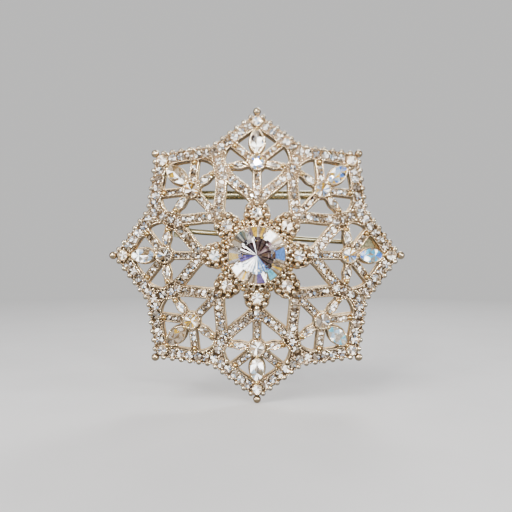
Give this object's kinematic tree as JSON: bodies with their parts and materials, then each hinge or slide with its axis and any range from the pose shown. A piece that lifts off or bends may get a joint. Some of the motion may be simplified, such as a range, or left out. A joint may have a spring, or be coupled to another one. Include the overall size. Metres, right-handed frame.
{
  "type": "brooch",
  "caption": "Openwork snowflake brooch with a large round centre stone, marquise and round stones, a hinged pin with safety catch and a bail tube.",
  "frame": {"origin": "centre of the star, on the flat back plane of the cast frame", "axes": "+Z towards the top point as worn, -Y out of the face, +Y into the garment, +X to the viewer's right"},
  "size_m": [0.0506, 0.0089, 0.0506],
  "materials": {
    "champagne_plate": "polished pale gold plate",
    "olive_gold": "satin plated fittings",
    "pin_steel": "polished, thinly plated spring wire",
    "aurora_crystal": "faceted, foiled back with a blue and violet sheen",
    "clear_crystal": "faceted, foiled back",
    "pave_crystal": "tiny faceted stones, foiled back"
  },
  "bodies": {
    "brooch": {"star_frame": "champagne_plate", "center_cup": "champagne_plate", "center_stone": "aurora_crystal", "bail_tube": "olive_gold", "pin_joint": "olive_gold", "hinge_rivet": "olive_gold", "catch_base": "olive_gold", "point_stone_1": "aurora_crystal", "marquise_1": "aurora_crystal", "flower_stone_1": "clear_crystal", "tip_stone_1": "clear_crystal", "point_stone_2": "aurora_crystal", "marquise_2": "aurora_crystal", "flower_stone_2": "clear_crystal", "tip_stone_2": "clear_crystal", "point_stone_3": "aurora_crystal", "marquise_3": "aurora_crystal", "flower_stone_3": "clear_crystal", "tip_stone_3": "clear_crystal", "point_stone_4": "aurora_crystal", "marquise_4": "aurora_crystal", "flower_stone_4": "clear_crystal", "tip_stone_4": "clear_crystal", "point_stone_5": "aurora_crystal", "marquise_5": "aurora_crystal", "flower_stone_5": "clear_crystal", "tip_stone_5": "clear_crystal", "point_stone_6": "aurora_crystal", "marquise_6": "aurora_crystal", "flower_stone_6": "clear_crystal", "tip_stone_6": "clear_crystal", "point_stone_7": "aurora_crystal", "marquise_7": "aurora_crystal", "flower_stone_7": "clear_crystal", "tip_stone_7": "clear_crystal", "point_stone_8": "aurora_crystal", "marquise_8": "aurora_crystal", "flower_stone_8": "clear_crystal", "tip_stone_8": "clear_crystal", "leaf_stone_1": "clear_crystal", "leaf_stone_2": "clear_crystal", "leaf_stone_3": "clear_crystal", "leaf_stone_4": "clear_crystal", "leaf_stone_5": "clear_crystal", "leaf_stone_6": "clear_crystal", "leaf_stone_7": "clear_crystal", "leaf_stone_8": "clear_crystal", "leaf_stone_9": "clear_crystal", "leaf_stone_10": "clear_crystal", "leaf_stone_11": "clear_crystal", "leaf_stone_12": "clear_crystal", "leaf_stone_13": "clear_crystal", "leaf_stone_14": "clear_crystal", "leaf_stone_15": "clear_crystal", "leaf_stone_16": "clear_crystal"},
    "stem": {"pin_stem": "pin_steel"},
    "roller": {"catch_roller": "olive_gold"}
  },
  "joints": [
    {"name": "stem_hinge", "type": "hinge", "parent": "brooch", "child": "stem", "pos_m": [-0.0132, 0.0019, 0.00435], "axis": [0.0685, 0, 0.9976], "range_deg": [0, 90]},
    {"name": "catch_turn", "type": "hinge", "parent": "brooch", "child": "roller", "pos_m": [0.01955, 0.0019, 0.0021], "axis": [0.9976, 0, -0.0685], "range_deg": [0, 110]}
  ]
}
